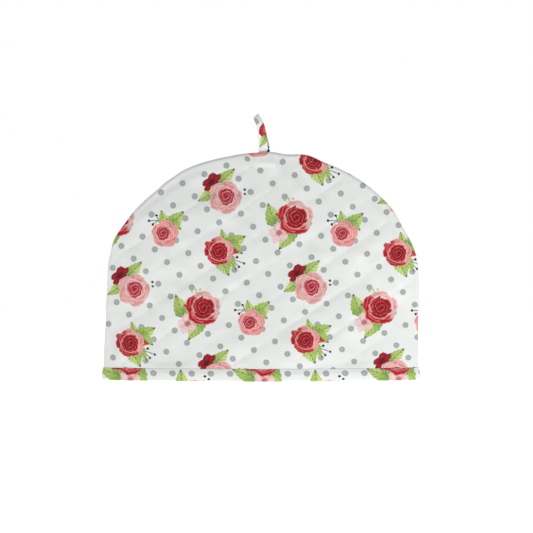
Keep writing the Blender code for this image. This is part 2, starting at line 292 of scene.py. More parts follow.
def latticeRows(right, down):
    # The two vectors that turn a place into shares of two slanting steps
    size = right[0] * down[1] - right[1] * down[0]
    return (down[1] / size, -down[0] / size, 0.0), (-right[1] / size, right[0] / size, 0.0)


def latticeShares(g, place, first, second):
    rows = latticeRows(first, second)
    return g.join(g.maths("DOT_PRODUCT", place, rows[0]), g.maths("DOT_PRODUCT", place, rows[1]))


def nearestRepeat(g, shares, at, first, second):
    # The place measured from the nearest repeat of a point
    rows = latticeRows(first, second)
    start = tuple(0.5 - row[0] * at[0] - row[1] * at[1] for row in rows) + (0.0,)
    across, down, _ = ((shares + start).fraction() - (0.5, 0.5, 0.0)).parts()
    return across * (first[0], first[1], 0.0) + down * (second[0], second[1], 0.0)


leafStyle = {"taper": 1.1, "veins": 5.0, "fullness": 2.72, "notch": 0.40}


def paintLeaf(g, under, place, closer, leaves, tones):
    # One leaf: a broad blade with a notched edge, a midrib, side veins, a deeper side and a dark tip
    bases, reaches, sides = [], [], []
    for blade in leaves:
        base, tip = blade["base"], blade["tip"]
        across = (tip[0] - base[0], tip[1] - base[1])
        length = math.hypot(*across)
        bases.append(base)
        reaches.append((across[0] / length**2, across[1] / length**2, blade["width"] / 2.0))
        sides.append((-across[1] / length, across[0] / length))
    reach = g.pick(reaches, closer)
    fromBase = place - g.pickPlace(bases, closer)
    along = g.maths("DOT_PRODUCT", fromBase, g.product(reach, (1.0, 1.0, 0.0)))
    aside = g.maths("DOT_PRODUCT", fromBase, g.pickPlace(sides, closer))
    halfWidth = reach.parts()[2]
    awayFromRib = abs(aside)
    start = g.maths("MAXIMUM", along, 0.0) ** 0.5
    taper = g.maths("MAXIMUM", 1.0 - along, 0.0) ** leafStyle["taper"]
    notch = (along * leafStyle["veins"] + awayFromRib * -0.10).fraction()
    shape = start * taper * (leafStyle["fullness"] - leafStyle["notch"] * notch)
    inside = g.soft(shape * halfWidth - awayFromRib - 0.25, 0.4)
    light, body, deep, vein, end = tones
    colour = g.mix(g.ease(aside / halfWidth, -0.5, 0.6), light, body)
    colour = g.mix(g.ease(along, 0.6, 0.0) * 0.7, colour, deep)
    blotch = g.noise(place, 0.55, 3.0)
    colour = g.mix(g.ease(blotch, 0.52, 0.72) * 0.5, colour, light)
    sideVein = (along * leafStyle["veins"] + awayFromRib * -0.22).fraction()
    sideVein = g.ease(abs(sideVein - 0.5), 0.12, 0.03)
    colour = g.mix(sideVein * 0.5, colour, vein)
    colour = g.mix(g.soft(0.35 - awayFromRib, 0.4) * 0.8, colour, vein)
    colour = g.mix(g.ease(along, 0.82, 0.94), colour, end)
    return g.mix(inside, under, colour)


def paintBloom(g, under, place, closer, choices):
    # A small flower beside the rose, longer along the slant that rises to the right
    blooms = [posy["bloom"] for posy in choices]
    middle = g.pickPlace([b["at"] for b in blooms], closer)
    size = g.pickPlace([(1.0 / b["size"][0], 1.0 / b["size"][1]) for b in blooms], closer)
    red = g.pick([b["red"] for b in blooms], closer)
    fromMiddle = place - middle
    slant = math.sqrt(0.5)
    rising = g.maths("DOT_PRODUCT", fromMiddle, (slant, slant, 0.0))
    falling = g.maths("DOT_PRODUCT", fromMiddle, (slant, -slant, 0.0))
    shares = g.product(g.join(rising, falling), size)
    right, up, _ = shares.parts()
    radius = g.maths("LENGTH", shares)
    bearing = g.maths("ARCTAN2", up, right) * (1.0 / math.tau)
    lobe = abs((bearing * 5.0 + 10.3).fraction() - 0.5) * 2.0
    blotch = g.noise(place, 0.45, 3.0)
    depth = 1.0 - 0.30 * lobe * lobe + blotch * 0.30 - 0.15 - radius
    inside = g.soft(depth, 0.06)
    petal = g.mix(red, srgb(238, 206, 204), srgb(158, 26, 42))
    deep = g.mix(red, srgb(220, 158, 162), srgb(104, 6, 22))
    edge = g.mix(red, srgb(236, 216, 214), srgb(140, 28, 48))
    colour = g.mix(g.ease(depth, 0.0, 0.16), edge, petal)
    colour = g.mix(g.ease(blotch, 0.48, 0.62) * 0.6, colour, deep)
    colour = g.mix(g.ease(lobe, 0.62, 0.98) * 0.7, colour, deep)
    colour = g.mix(g.ease(radius, 0.42, 0.16), colour, g.mix(red, srgb(172, 62, 78), srgb(92, 4, 20)))
    return g.mix(inside * g.mix(red, 0.85, 1.0), under, colour)


def paintSprig(g, under, place, closer, choices):
    # Three beads on thin stems
    sprigs = [posy["sprig"] for posy in choices]
    root = g.pickPlace([s["root"] for s in sprigs], closer)
    stem = g.pick([s["stem"] for s in sprigs], closer)
    pale = g.pick([s["pale"] for s in sprigs], closer)
    colour = g.mix(pale, printStyle["sprigDark"], printStyle["sprigPale"])
    fromRoot = place - root
    inside = None
    for number in range(3):
        tip = g.pickPlace([s["tips"][number] for s in sprigs], closer)
        reach = tip - root
        share = g.maths("DOT_PRODUCT", fromRoot, reach) / (g.maths("DOT_PRODUCT", reach, reach) + 0.01)
        share = g.node("ShaderNodeClamp", {}, {0: share})
        toStem = g.maths("LENGTH", fromRoot - reach * share)
        toBead = g.maths("LENGTH", place - tip)
        bead = g.soft(printStyle["beadRadius"] - toBead, 0.4)
        mark = g.maths("MAXIMUM", g.soft(stem - toStem, 0.3) * 0.8, bead)
        inside = mark if inside is None else g.maths("MAXIMUM", inside, mark)
    return g.mix(inside, under, colour)


def paintRose(g, under, place, closer, choices):
    size, core, turn = g.pick([(p["size"], p["core"], p["turn"]) for p in choices], closer).parts()
    side = g.pickPlace([p["side"] for p in choices], closer)
    dark = g.pick([p["dark"] for p in choices], closer)
    offset = g.pickPlace([p["offset"] for p in choices], closer)
    warmth = g.pick([p["warm"] for p in choices], closer)
    shares = place * (1.0 / size)
    wobble = g.noise(place, 0.16, 1.5, 1) - (0.5, 0.5, 0.5)
    shares = shares + wobble * 0.26
    outwards = g.ease(g.maths("LENGTH", shares), 0.35, 1.0)
    moved = shares - offset * outwards
    right, up, _ = moved.parts()
    radius = g.maths("LENGTH", g.join(right, up))
    bearing = g.maths("ARCTAN2", up, right) * (1.0 / math.tau) + turn
    streak = g.noise(g.join(bearing * 34.0, radius * 4.0), 1.0, 2.0)
    isRed = g.ease(g.maths("DOT_PRODUCT", moved, side) + dark + streak * 0.3 - 0.15, -0.08, 0.12)
    pinks = [g.mix(warmth, low, high) for low, high in zip(dusky, warm)]
    edge, body, deep = (g.mix(isRed, low, high) for low, high in zip(pinks, red))
    colour = under
    for number, ring in enumerate(roseRings):
        lobe = (bearing * ring["petals"] + (ring["shift"] + 10.0)).fraction()
        bend = lobe * 2.0 - 1.0
        rim = (ring["reach"] - 0.5 * ring["swirl"]) + lobe * ring["swirl"] - bend * bend * ring["scallop"]
        depth = rim - radius
        petal = g.mix(g.ease(depth, 0.4 * ring["edge"], ring["edge"]), edge, body)
        petal = g.mix(g.ease(depth, ring["edge"], ring["band"]) * 0.7, petal, deep)
        petal = g.mix(g.ease(lobe, 0.14, 0.0) * 0.8, petal, deep)
        petal = g.mix(g.ease(streak, 0.52, 0.74) * g.mix(isRed, 0.45, 0.22), petal, edge)
        colour = g.mix(g.soft(depth, 0.04), colour, petal)
    # the heart: a spiral inside a lighter rim, crimson in the roses that have dark petals
    isCrimson = g.ease(dark, -1.0, 0.0)
    bright, middle, shade = (g.mix(isCrimson, low, high) for low, high in zip(pinkHeart, red))
    turned = (bearing + radius * coreTwist + 10.0).fraction()
    heart = g.mix(g.ease(turned, 0.0, 0.75), shade, middle)
    heart = g.mix(g.ease(turned, 0.72, 0.92) * g.ease(streak, 0.36, 0.56), heart, bright)
    heart = g.mix(g.ease(radius, 0.12, 0.05), heart, shade)
    lobe = (bearing * 3.0 + 10.7).fraction()
    depth = core * (1.08 - 0.16 * lobe) - radius
    colour = g.mix(g.soft(depth + 0.08, 0.04), colour, g.mix(isRed, pinks[0], warm[1]))
    return g.mix(g.soft(depth, 0.05), colour, heart)


def paintPrint(g, cloth, choices, dotStart):
    style = printStyle
    shares = latticeShares(g, cloth, style["dotRight"], style["dotDown"])
    toDot = nearestRepeat(g, shares, dotStart, style["dotRight"], style["dotDown"])
    ragged = g.noise(cloth, 0.7, 3.0)
    inDot = style["dotRadius"] - g.maths("LENGTH", toDot) + ragged * 0.9 - 0.45
    dotTone = g.mix(g.ease(inDot, 0.2, 1.3), style["dotEdge"], style["dotColour"])
    dotTone = g.mix(g.ease(inDot + ragged * 2.0, 2.4, 3.8), dotTone, style["dotMiddle"])
    colour = g.mix(g.soft(inDot, 1.1) * 0.96, style["ground"], dotTone)

    shares = latticeShares(g, cloth, style["repeatDown"], style["repeatLeft"])
    nearest = None
    closer = []
    for posy in choices:
        here = nearestRepeat(g, shares, posy["at"], style["repeatDown"], style["repeatLeft"])
        far = g.maths("LENGTH", here)
        if nearest is None:
            nearest, place = far, here
            continue
        mask = far < nearest
        closer.append(mask)
        place = g.mix(mask, place, here)
        nearest = g.maths("MINIMUM", nearest, far)
    waver = g.noise(place, 0.30, 2.0, 1) - (0.5, 0.5, 0.5)
    settings = {"operation": "MULTIPLY_ADD"}
    place = g.node("ShaderNodeVectorMath", settings, {0: waver, 1: (1.6, 1.6, 0.0), 2: place})

    green = [style[tone] for tone in ("leafLight", "leafBody", "leafDeep", "leafVein", "leafTip")]
    colour = paintSprig(g, colour, place, closer, choices)
    for leaves in itertools.zip_longest(*(p["leaves"] for p in choices), fillvalue=noLeaf):
        colour = paintLeaf(g, colour, place, closer, leaves, green)
    colour = paintBloom(g, colour, place, closer, choices)
    reds = (red[0], red[1], red[1], red[2], red[2])
    colour = paintLeaf(g, colour, place, closer, [p["petal"] for p in choices], reds)
    return paintRose(g, colour, place, closer, choices)


# CLOTH FINISHES

clothFinish = {
    "roughness": 0.88,
    "sheen": 0.06,
    "shine": 0.12,
    "threadPitch": 0.42,
    "weaveHeight": 0.35,
    "inside": srgb(232, 232, 228),
    "thread": srgb(238, 238, 234),
}


def finishSurface(g, colour, height, roughness, bumpStrength, bumpDistance):
    shader = g.nodes.new("ShaderNodeBsdfPrincipled")
    if isinstance(colour, Wire):
        g.links.new(colour.socket, shader.inputs["Base Color"])
    else:
        shader.inputs["Base Color"].default_value = colour
    shader.inputs["Roughness"].default_value = roughness
    shader.inputs["Sheen Weight"].default_value = clothFinish["sheen"]
    shader.inputs["Specular IOR Level"].default_value = clothFinish["shine"]
    if height is not None:
        values = {"Strength": bumpStrength, "Distance": bumpDistance, "Height": height}
        normal = g.node("ShaderNodeBump", {}, values)
        g.links.new(normal.socket, shader.inputs["Normal"])
    output = g.nodes.new("ShaderNodeOutputMaterial")
    g.links.new(shader.outputs[0], output.inputs[0])
    return shader


def weaveHeight(g, cloth):
    # Over-and-under threads of a plain weave, with slubs
    turns = math.tau / (2.0 * clothFinish["threadPitch"])
    right, up, _ = (cloth * turns).parts()
    across = g.maths("SINE", right)
    along = g.maths("SINE", up)
    slub = g.noise(cloth, 1.6, 3.0)
    return across * along * 0.5 + slub * 0.8


def newCotton(name):
    material = bpy.data.materials.new(name)
    g = Graph(material)
    return material, g, g.node("ShaderNodeAttribute", {"attribute_name": "cloth"}, {}, 1)


def printedCotton(name, choices, dotStart):
    material, g, cloth = newCotton(name)
    colour = paintPrint(g, cloth, choices, dotStart)
    mottle = g.noise(cloth, 0.7, 4.0)
    colour = g.mix(g.ease(mottle, 0.35, 0.75) * 0.05, colour, srgb(190, 196, 194))
    finishSurface(g, colour, weaveHeight(g, cloth), clothFinish["roughness"], 0.25, 0.15 * mm)
    return material


def plainCotton(name):
    material, g, cloth = newCotton(name)
    mottle = g.noise(cloth, 0.5, 4.0)
    colour = g.mix(mottle * 0.12, clothFinish["inside"], srgb(205, 206, 202))
    finishSurface(g, colour, weaveHeight(g, cloth), clothFinish["roughness"], 0.25, 0.15 * mm)
    return material


def sewingThread(name):
    material = bpy.data.materials.new(name)
    g = Graph(material)
    place = g.node("ShaderNodeTexCoord", {}, {}, 3)
    twist = g.noise(place, 2600.0, 2.0)
    colour = g.mix(twist * 0.25, clothFinish["thread"], srgb(196, 198, 194))
    finishSurface(g, colour, twist, 0.7, 0.3, 0.05 * mm)
    return material


# SHAPE OF THE COVER
# The same even arch and the same named sizes as the solids, in metres, then finer creases

cover = {
    "archHalfWidth": 173.0 * mm,
    "archRise": 144.5 * mm,
    "springHeight": 107.8 * mm,
    "hemFlare": 1.0 * mm,
    "halfDepth": 47.0 * mm,
    "depthFall": 1.6,
    "waveHeight": 1.1 * mm,
    "waveLength": 118.0 * mm,
    "waveReach": 90.0 * mm,
    "waveStart": 0.21,
    "gap": 0.3 * mm,
    "seamRound": 3.5 * mm,
    "seamFlat": 5.0 * mm,
    "seamAllowance": 8.5 * mm,
    "seamReach": 15.0 * mm,
    "hemLift": 1.5 * mm,
    "edgeFade": 6,
    # bearing from the middle of the mouth in degrees, and how far out the edge is in mm
    "edge": [
        (-90.0, 0.9), (-79.0, 0.8), (-66.0, -0.9), (-57.7, -2.4), (-50.6, -1.2), (-46.7, 0.0),
        (-40.0, -2.4), (-29.8, -3.7), (-25.2, -2.0), (-19.5, -0.2), (-8.7, -0.9), (-3.0, 0.0),
        (3.0, 1.2), (5.9, 0.1), (11.7, 3.8), (16.5, 1.6), (26.8, 2.2), (37.0, 2.6),
        (42.6, 0.9), (50.7, 3.2), (57.9, 2.0), (74.8, 1.4), (90.0, 0.9),
    ],
}

quilting = {
    "angle": math.radians(34.0),
    "pitch": 34.0 * mm,
    "lowestGroove": -1.7 * mm,
    "puff": 5.0,
    "stitchedThickness": 3.2 * mm,
    "outerRelief": 1.0 * mm,
    "innerRelief": 1.4 * mm,
    "squeezedShare": 0.35,
    "lineWander": 1.6 * mm,
    "wanderAlong": 55.0 * mm,
    "wanderAcross": 30.0 * mm,
    "unevenShare": 0.75,
    "unevenLength": 38.0 * mm,
    "pucker": 0.55 * mm,
    "puckerLength": 6.0 * mm,
    "puckerReach": 7.0 * mm,
    "slack": 1.9 * mm,
    "slackLength": 36.0 * mm,
    "dimple": 0.85 * mm,
    "dimpleLength": 14.0 * mm,
    "seamPucker": 0.7 * mm,
    "seamPuckerLength": 7.0 * mm,
    "seamPuckerReach": 8.0 * mm,
}

binding = {
    "cloth": 1.2 * mm,
    "height": 14.0 * mm,
    "clearance": 0.35 * mm,
    "stitchHeight": 11.8 * mm,
    "stitchPress": 0.60 * mm,
    "columns": 150,
    "ripple": 0.35 * mm,
    "rippleLength": 11.0 * mm,
    "printStart": (17.4, 164.6),
    "printHeading": -46.5,
    "printSkew": 0.1,
    "printStretch": 1.08,
}

loopTape = {
    "x": 3.8 * mm,
    "width": 12.4 * mm,
    "tape": 1.3 * mm,
    "rise": 43.5 * mm,
    "spread": 7.4 * mm,
    "taper": 1.2,
    "lean": 7.0 * mm,
    "leanPower": 1.4,
    # share of the rise, and share of the tape's width that shows
    "widths": [(0.0, 1.0), (0.15, 0.97), (0.36, 0.84), (0.56, 0.72), (0.75, 0.76), (1.0, 0.87)],
    "dotStart": (-5.3, 286.9),
    "tail": 8.5 * mm,
    "neck": 2.0 * mm,
    "steps": 70,
    "stepsAcross": 14,
    "pocketHalfWidth": 8.5 * mm,
    "pocketDepth": 10.5 * mm,
    "pocketFade": 7.0 * mm,
}

archTop = cover["springHeight"] + cover["archRise"]


def ease(share):
    share = np.clip(share, 0.0, 1.0)
    return share * share * (3.0 - 2.0 * share)


def blend(low, high, share):
    return low + (high - low) * share


def creaseNoise(u, v, seed):
    # Smooth noise from -1 to 1 on a grid of random values one unit apart
    size = 97
    table = np.random.default_rng(seed).uniform(-1.0, 1.0, (size, size))
    left, low = np.floor(u).astype(int), np.floor(v).astype(int)
    across, up = ease(u - left), ease(v - low)

    def corner(right, top):
        return table[(left + right) % size, (low + top) % size]

    lower = blend(corner(0, 0), corner(1, 0), across)
    upper = blend(corner(0, 1), corner(1, 1), across)
    return blend(lower, upper, up)


def halfWidth(z):
    low = cover["archHalfWidth"] + cover["hemFlare"] * (1.0 - z / cover["springHeight"])
    up = np.clip((z - cover["springHeight"]) / cover["archRise"], 0.0, 1.0)
    return np.where(z <= cover["springHeight"], low, cover["archHalfWidth"] * np.sqrt(1.0 - up * up))


def edgeDistance(x, z):
    across = x / cover["archHalfWidth"]
    up = (z - cover["springHeight"]) / cover["archRise"]
    radius = np.maximum(np.hypot(across, up), 1e-6)
    slope = np.hypot(across / cover["archHalfWidth"], up / cover["archRise"]) / radius
    high = (1.0 - radius) / np.maximum(slope, 1.0 / cover["archHalfWidth"])
    return np.where(z <= cover["springHeight"], halfWidth(z) - np.abs(x), high)


def openingDepth(x, z, side):
    width = np.maximum(halfWidth(z), 1e-6)
    middle = cover["halfDepth"] * (1.0 - (np.maximum(z, 0.0) / archTop) ** cover["depthFall"])
    turn = math.tau * (x * side / cover["waveLength"] + cover["waveStart"])
    middle = middle + cover["waveHeight"] * np.sin(turn) * np.exp(-z / cover["waveReach"])
    inside = np.maximum(1.0 - (x / width) ** 2, 0.0)
    return middle * np.where(halfWidth(z) < 1e-6, 0.0, inside)


def quiltPlace(x, z, side):
    # Distances across and along the channels, seen from outside
    rise = z - quilting["lowestGroove"]
    across = rise * math.cos(quilting["angle"]) - x * side * math.sin(quilting["angle"])
    along = rise * math.sin(quilting["angle"]) + x * side * math.cos(quilting["angle"])
    return across, along


def lineWander(along, across):
    # How far a row of quilting strays to one side
    wander = creaseNoise(along / quilting["wanderAlong"], across / quilting["wanderAcross"], 11)
    return quilting["lineWander"] * wander * 0.5


def puff(x, z, side):
    across, along = quiltPlace(x, z, side)
    across = across + lineWander(along, across)
    inChannel = (across / quilting["pitch"]) % 1.0
    crown = 1.0 - np.abs(2.0 * inChannel - 1.0) ** quilting["puff"]
    length = quilting["unevenLength"]
    uneven = creaseNoise(along / length + 20.0, across / length + 4.0, 13)
    crown = crown * (1.0 + quilting["unevenShare"] * (uneven - 0.3))
    underBinding = 1.0 - ease((z - binding["height"]) / (6.0 * mm))
    crown = blend(crown, quilting["squeezedShare"], underBinding)
    fromSeam = (edgeDistance(x, z) - cover["seamFlat"]) / (cover["seamReach"] - cover["seamFlat"])
    return crown * ease(fromSeam)


def pocket(x, z):
    beside = 1.0 - ease((np.abs(x - loopTape["x"]) - loopTape["pocketHalfWidth"]) / loopTape["pocketFade"])
    below = 1.0 - ease((edgeDistance(x, z) - loopTape["pocketDepth"]) / loopTape["pocketFade"])
    return np.where(z < cover["springHeight"], 0.0, (loopTape["tape"] + cover["gap"]) * beside * below)


def seamRoll(distance):
    rest = np.clip(cover["seamRound"] - distance, 0.0, cover["seamRound"])
    return np.sqrt(cover["seamRound"] ** 2 - rest**2)


def stitchedFace(x, z, side):
    roll = seamRoll(np.maximum(edgeDistance(x, z), 0.0))
    return cover["gap"] / 2.0 + roll + openingDepth(x, z, side) + pocket(x, z)


def seamPlace(x, z):
    # Distance along the arch seam, from 0 at the top
    up = z - cover["springHeight"]
    bearing = np.arctan2(np.abs(x), np.maximum(up, 0.0))
    meanRadius = 158.0 * mm
    return np.sign(x) * (bearing * meanRadius + np.maximum(-up, 0.0))


def creases(x, z, side):
    # Puckers across each row of quilting and beside the arch seam, and slack in the cloth
    across, along = quiltPlace(x, z, side)
    inChannel = (across / quilting["pitch"]) % 1.0
    fromLine = np.minimum(inChannel, 1.0 - inChannel) * quilting["pitch"]
    line = np.round(across / quilting["pitch"])
    ripple = creaseNoise(along / quilting["puckerLength"] + line * 5.3, line * 3.7 + across / (50.0 * mm), 3)
    height = quilting["pucker"] * ripple * np.exp(-((fromLine / quilting["puckerReach"]) ** 2))
    slack = creaseNoise(x * side / quilting["slackLength"] + 9.0, z / quilting["slackLength"], 5)
    dimple = creaseNoise(x * side / quilting["dimpleLength"] + 3.0, z / quilting["dimpleLength"], 6)
    height = height + quilting["slack"] * slack + quilting["dimple"] * dimple
    edge = np.maximum(edgeDistance(x, z), 0.0)
    along = seamPlace(x, z) / quilting["seamPuckerLength"]
    seam = creaseNoise(along + 40.0, edge * 0.0 + 2.5 * side + 8.0, 8)
    beside = np.exp(-edge / quilting["seamPuckerReach"]) * (1.0 - np.exp(-edge / (2.0 * mm)))
    above = ease((z - binding["height"]) / (8.0 * mm))
    return (height * ease(edge / cover["seamReach"]) + quilting["seamPucker"] * seam * beside) * above


def outerFace(x, z, side):
    return stitchedFace(x, z, side) + quilting["outerRelief"] * puff(x, z, side)


def innerFace(x, z, side):
    wall = quilting["stitchedThickness"] + quilting["innerRelief"] * puff(x, z, side)
    flat = cover["gap"] / 2.0 + pocket(x, z)
    hollow = np.maximum(stitchedFace(x, z, side) - wall, flat)
    past = (edgeDistance(x, z) - cover["seamAllowance"]) / (cover["seamReach"] - cover["seamAllowance"])
    return blend(flat, hollow, ease(past))


def placed(x, z):
    # Points of the even arch, moved to where they are on the real, uneven edge
    bearings = np.array([row[0] for row in cover["edge"]])
    outs = np.array([row[1] for row in cover["edge"]]) * mm
    bearing = np.degrees(np.arctan2(x, np.maximum(z, 0.0)))
    after = np.clip(np.searchsorted(bearings, bearing), 1, len(bearings) - 1)
    share = (bearing - bearings[after - 1]) / (bearings[after] - bearings[after - 1])
    out = blend(outs[after - 1], outs[after], ease(share))
    up = z - cover["springHeight"]
    low = z <= cover["springHeight"]
    reachLow = np.abs(x) / np.maximum(halfWidth(z), 1e-6)
    reachHigh = np.hypot(x / cover["archHalfWidth"], up / cover["archRise"])
    reach = np.where(low, reachLow, reachHigh)
    length = np.maximum(np.hypot(x, up), 1e-9)
    pushX = np.where(low, np.sign(x), x / length)
    pushZ = np.where(low, 0.0, up / length)
    push = out * np.minimum(reach, 1.0) ** cover["edgeFade"]
    return x + pushX * push, z + pushZ * push


def newPiece(name, points, faces, cloth, materials, faceMaterials=None):
    mesh = bpy.data.meshes.new(name)
    mesh.from_pydata(np.asarray(points).tolist(), [], faces)
    own = mesh.attributes.new("cloth", "FLOAT_VECTOR", "POINT")
    own.data.foreach_set("vector", np.asarray(cloth, dtype=np.float32).ravel())
    for material in materials:
        mesh.materials.append(material)
    if faceMaterials is not None:
        mesh.polygons.foreach_set("material_index", faceMaterials)
    mesh.shade_smooth()
    piece = bpy.data.objects.new(name, mesh)
    bpy.context.scene.collection.objects.link(piece)
    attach(piece, "root")
    return piece


# QUILTED PANELS

panelGrid = {"columns": 200, "lowRows": 62, "highRows": 126, "endCrowding": 0.6}


def panelPlaces():
    share = np.linspace(-1.0, 1.0, panelGrid["columns"] + 1)
    across = blend(share, np.sin(share * math.pi / 2.0), panelGrid["endCrowding"])
    lowRows = np.linspace(cover["hemLift"], cover["springHeight"], panelGrid["lowRows"] + 1)
    turns = np.linspace(0.0, math.pi / 2.0, panelGrid["highRows"] + 1)[1:]
    rows = np.concatenate([lowRows, cover["springHeight"] + cover["archRise"] * np.sin(turns)])
    z = np.repeat(rows[:, None], len(across), axis=1)
    return across[None, :] * halfWidth(z), z


def makePanel(name, side, materials):
    x, z = panelPlaces()
    outer = outerFace(x, z, side) + creases(x, z, side)
    inner = innerFace(x, z, side) + np.minimum(creases(x, z, side), 0.0) * ease(
        (edgeDistance(x, z) - cover["seamReach"]) / (10.0 * mm))
    outer[:, 0] = outer[:, -1] = cover["gap"] / 2.0
    placedX, placedZ = placed(x, z)
    rows, columns = x.shape
    count = rows * columns
    outerIndex = np.arange(count).reshape(rows, columns)
    outerIndex[-1, :] = outerIndex[-1, 0]
    innerIndex = np.arange(count, 2 * count).reshape(rows, columns)
    innerIndex[:, 0] = outerIndex[:, 0]
    innerIndex[:, -1] = outerIndex[:, -1]
    innerIndex[-1, :] = outerIndex[-1, 0]

    def quads(index):
        corners = (index[:-1, :-1], index[:-1, 1:], index[1:, 1:], index[1:, :-1])
        return np.stack([corner.ravel() for corner in corners], axis=1)

    outerFaces = quads(outerIndex)
    innerFaces = quads(innerIndex)[:, ::-1]
    hemCorners = (outerIndex[0, 1:], outerIndex[0, :-1], innerIndex[0, :-1], innerIndex[0, 1:])
    hemFaces = np.stack(hemCorners, axis=1)
    everyFace = np.concatenate([outerFaces, innerFaces, hemFaces])
    isInside = np.concatenate([np.zeros(len(outerFaces)), np.ones(len(innerFaces) + len(hemFaces))])
    if side < 0:
        everyFace = everyFace[:, ::-1]

    used = np.unique(everyFace)
    renumber = np.zeros(2 * count, dtype=int)
    renumber[used] = np.arange(len(used))
    bothX = np.concatenate([placedX.ravel(), placedX.ravel()])[used]
    bothZ = np.concatenate([placedZ.ravel(), placedZ.ravel()])[used]
    bothY = -side * np.concatenate([outer.ravel(), inner.ravel()])[used]
    points = np.stack([bothX, bothY, bothZ], axis=1)
    cloth = np.stack([bothX * side, bothZ, bothX * 0.0], axis=1) / mm
    if side < 0:
        cloth = cloth + np.array(backPrintShift)
    else:
        cloth = pulledPrint(cloth)
    faces = [tuple(dict.fromkeys(face)) for face in renumber[everyFace].tolist()]
    return newPiece(name, points, faces, cloth, materials, isInside.astype(int).tolist())


backPrintShift = [61.0, 37.0, 0.0]
# How far the front's print is pulled to the right and up, in mm, at so many tenths of a metre
# across and up from the middle: steady, across, up, across twice, both, and up twice
frontPull = {"right": (-0.96, 0.0, -0.53, 0.19, 1.58, 1.33), "up": (1.25, 0.13, -0.9, -1.09, -1.27, 1.48)}


# Beside the loop the seam pulls the print down and to the left, in mm
topPull = {"at": (-8.0, 254.0), "reach": 14.0, "by": (-2.5, -4.0)}


def pulledPrint(cloth):
    across, up = cloth[:, 0] / 100.0, (cloth[:, 1] - 120.0) / 100.0
    terms = np.stack([across**0, across, up, across * across, across * up, up * up], axis=1)
    away = np.hypot(cloth[:, 0] - topPull["at"][0], cloth[:, 1] - topPull["at"][1]) / topPull["reach"]
    atTop = np.exp(-away * away)
    right = terms @ frontPull["right"] + topPull["by"][0] * atTop
    up = terms @ frontPull["up"] + topPull["by"][1] * atTop
    return cloth - np.stack([right, up, across * 0.0], axis=1)


# BINDING


def outerLine(z, offset):
    # The panels' outer line in plan, moved outwards: the front from left to right, then the back
    share = np.linspace(-1.0, 1.0, binding["columns"] + 1)
    x = np.sin(share * math.pi / 2.0) * halfWidth(np.array(z))
    level = np.full_like(x, z)
    front = outerFace(x, level, 1)
    back = outerFace(x, level, -1)
    front[0] = front[-1] = 0.0
    line = np.concatenate([np.stack([x, -front], 1), np.stack([x, back], 1)[::-1][1:-1]])
    ahead = np.roll(line, -1, axis=0) - np.roll(line, 1, axis=0)
    normal = np.stack([ahead[:, 1], -ahead[:, 0]], 1)
    normal /= np.linalg.norm(normal, axis=1)[:, None]
    return closedLine(line + normal * np.asarray(offset).reshape(-1, 1)[: len(line)])


def closedLine(line):
    # A last point almost on the first one, where the two ends of the strip meet
    gapShare = 0.004
    return np.concatenate([line, line[:1] + (line[-1:] - line[:1]) * gapShare])


def mouthDepth(x, z, side, offset):
    step = 0.02 * mm
    slope = (innerFace(x + step, z, side) - innerFace(x - step, z, side)) / (2.0 * step)
    upright = np.maximum(1.0 / np.hypot(slope, 1.0), 0.3)
    return innerFace(x, z, side) - offset / upright


def mouthEnd(z, offset):
    near, far = 0.0, float(halfWidth(np.array(z)))
    for _ in range(40):
        x = np.array([(near + far) / 2.0, -(near + far) / 2.0])
        level = np.full_like(x, z)
        depths = [mouthDepth(x, level, side, offset).min() for side in (1, -1)]
        if min(depths) > 0.0:
            near = x[0]
        else:
            far = x[0]
    return near


def innerLine(z, offset):
    share = np.linspace(-1.0, 1.0, binding["columns"] + 1)
    x = np.sin(share * math.pi / 2.0) * mouthEnd(z, offset)
    level = np.full_like(x, z)
    front = np.maximum(mouthDepth(x, level, 1, offset), 0.0)
    back = np.maximum(mouthDepth(x, level, -1, offset), 0.0)
    front[0] = front[-1] = 0.0
    return closedLine(np.concatenate([np.stack([x, -front], 1), np.stack([x, back], 1)[::-1][1:-1]]))


def lineLength(line):
    # Distance along the closed line, 0 at the front's middle
    steps = np.linalg.norm(np.roll(line, -1, axis=0) - line, axis=1)
    walked = np.concatenate([[0.0], np.cumsum(steps)[:-1]])
    return walked - walked[binding["columns"] // 2]


def clothAlongBias(along, up):
    # A strip cut on the slant: its length runs along a heading of the print, a little stretched
    turn = math.radians(binding["printHeading"])
    along = (along + binding["printSkew"] * up) / binding["printStretch"]
    right = binding["printStart"][0] + (along * math.cos(turn) - up * math.sin(turn)) / mm
    high = binding["printStart"][1] + (along * math.sin(turn) + up * math.cos(turn)) / mm
    return np.stack([right, high, right * 0.0], axis=1)


def stripPlace(line):
    # How far along the strip each point lies: over the front from left to right, then the back
    turned = 2 * binding["columns"]
    fromFront = np.arange(len(line)) <= binding["columns"]
    end = line[binding["columns"], 0]
    along = np.where(fromFront, line[:, 0], 2.0 * end - line[:, 0])
    along[turned:] = 2.0 * end - line[0, 0]
    return along


